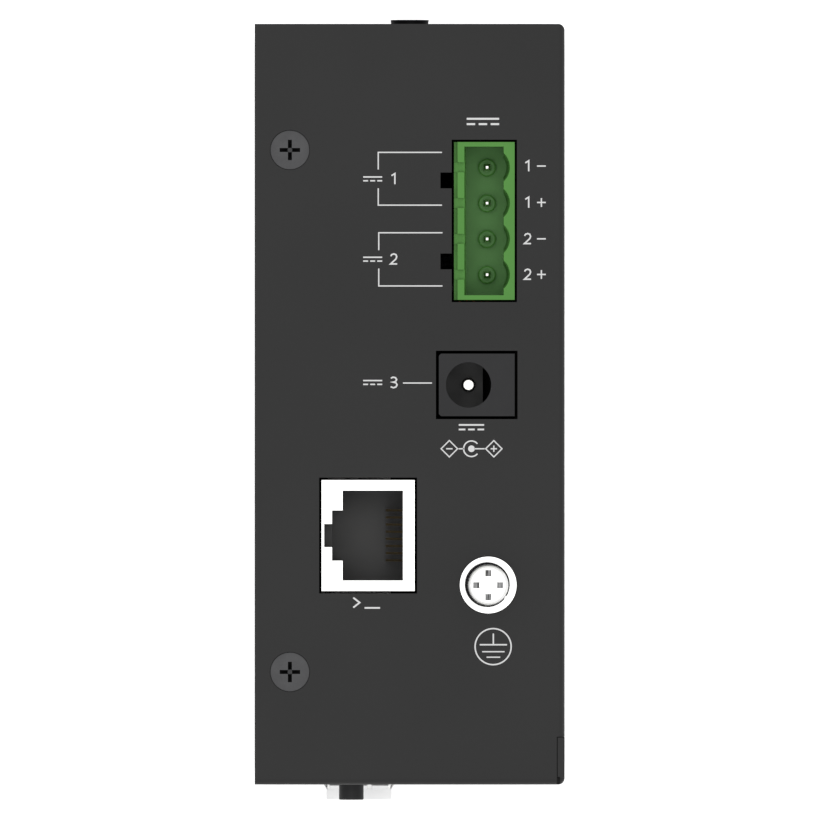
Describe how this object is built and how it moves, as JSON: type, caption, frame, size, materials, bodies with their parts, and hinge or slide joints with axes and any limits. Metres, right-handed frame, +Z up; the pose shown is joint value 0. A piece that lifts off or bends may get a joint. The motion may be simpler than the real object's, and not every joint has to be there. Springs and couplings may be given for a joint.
{
  "type": "rail mounted ethernet switch",
  "caption": "Narrow upright sheet metal ethernet switch: power terminals, round power socket, console socket and ground screw on top, network ports and reset button in front.",
  "frame": {"origin": "centre of the base face, on the surface that the switch stands on", "axes": "+Z up to the top with the terminals, +Y to the back with the clip screws, +X to the right as seen from the front"},
  "size_m": [0.044, 0.1113, 0.1391],
  "materials": {
    "powder_coated_steel": "fine powder coat, satin",
    "plated_steel": "bright nickel plate",
    "black_zinc_steel": "dark zinc plate",
    "green_moulding": "moulded, satin",
    "black_moulding": "moulded, satin",
    "grey_moulding": "moulded, satin",
    "tinned_brass": "tin plated",
    "gold_plated_wire": "gold flash",
    "circuit_board": "solder mask, semi gloss",
    "extruded_aluminium": "anodised, satin",
    "lamp_resin": "clear tinted resin",
    "capacitor_sleeve": "shrink sleeve",
    "copper_winding": "enamelled copper over ferrite",
    "ribbon_sheath": "flat extruded"
  },
  "bodies": {
    "case": {"chassis": "powder_coated_steel", "side_cover": "powder_coated_steel", "top_cover_screws": "black_zinc_steel", "base_cover_screws": "black_zinc_steel", "clip_screws": "black_zinc_steel", "clip_nuts": "plated_steel", "main_board": "circuit_board", "power_board": "circuit_board", "wall_standoffs": "plated_steel", "board_spacers": "plated_steel", "board_screws": "plated_steel", "terminal_header": "green_moulding", "terminal_pins": "tinned_brass", "power_jack_housing": "black_moulding", "power_jack_pin": "tinned_brass", "power_jack_leaf": "tinned_brass", "console_shield": "plated_steel", "console_insert": "grey_moulding", "console_contacts": "gold_plated_wire", "reset_case": "black_moulding", "reset_plate": "plated_steel", "reset_dome": "plated_steel", "lamp_holders": "black_moulding", "lamps": "lamp_resin", "ground_screw": "plated_steel", "ground_spring_washer": "black_zinc_steel", "ground_flat_washer": "plated_steel", "ground_nut": "plated_steel", "switch_chip": "black_moulding", "heat_sink": "extruded_aluminium", "power_driver": "black_moulding", "port_transformers": "black_moulding", "capacitors": "capacitor_sleeve", "choke_coil": "copper_winding", "choke_plate": "black_moulding", "main_link_plug": "black_moulding", "power_link_plug": "black_moulding", "link_ribbon": "ribbon_sheath", "port_1_shield": "plated_steel", "port_1_insert": "grey_moulding", "port_1_contacts": "gold_plated_wire", "port_2_shield": "plated_steel", "port_2_insert": "grey_moulding", "port_2_contacts": "gold_plated_wire", "port_3_shield": "plated_steel", "port_3_insert": "grey_moulding", "port_3_contacts": "gold_plated_wire", "port_4_shield": "plated_steel", "port_4_insert": "grey_moulding", "port_4_contacts": "gold_plated_wire", "cage_1": "plated_steel", "cage_1_collar": "plated_steel", "cage_1_connector": "black_moulding", "cage_2": "plated_steel", "cage_2_collar": "plated_steel", "cage_2_connector": "black_moulding"},
    "button": {"reset_button": "black_moulding"}
  },
  "joints": [
    {"name": "reset_press", "type": "slide", "parent": "case", "child": "button", "axis": [0, 1, 0], "range_m": [0, 0.00025], "stiffness_N_per_m": 6000}
  ]
}
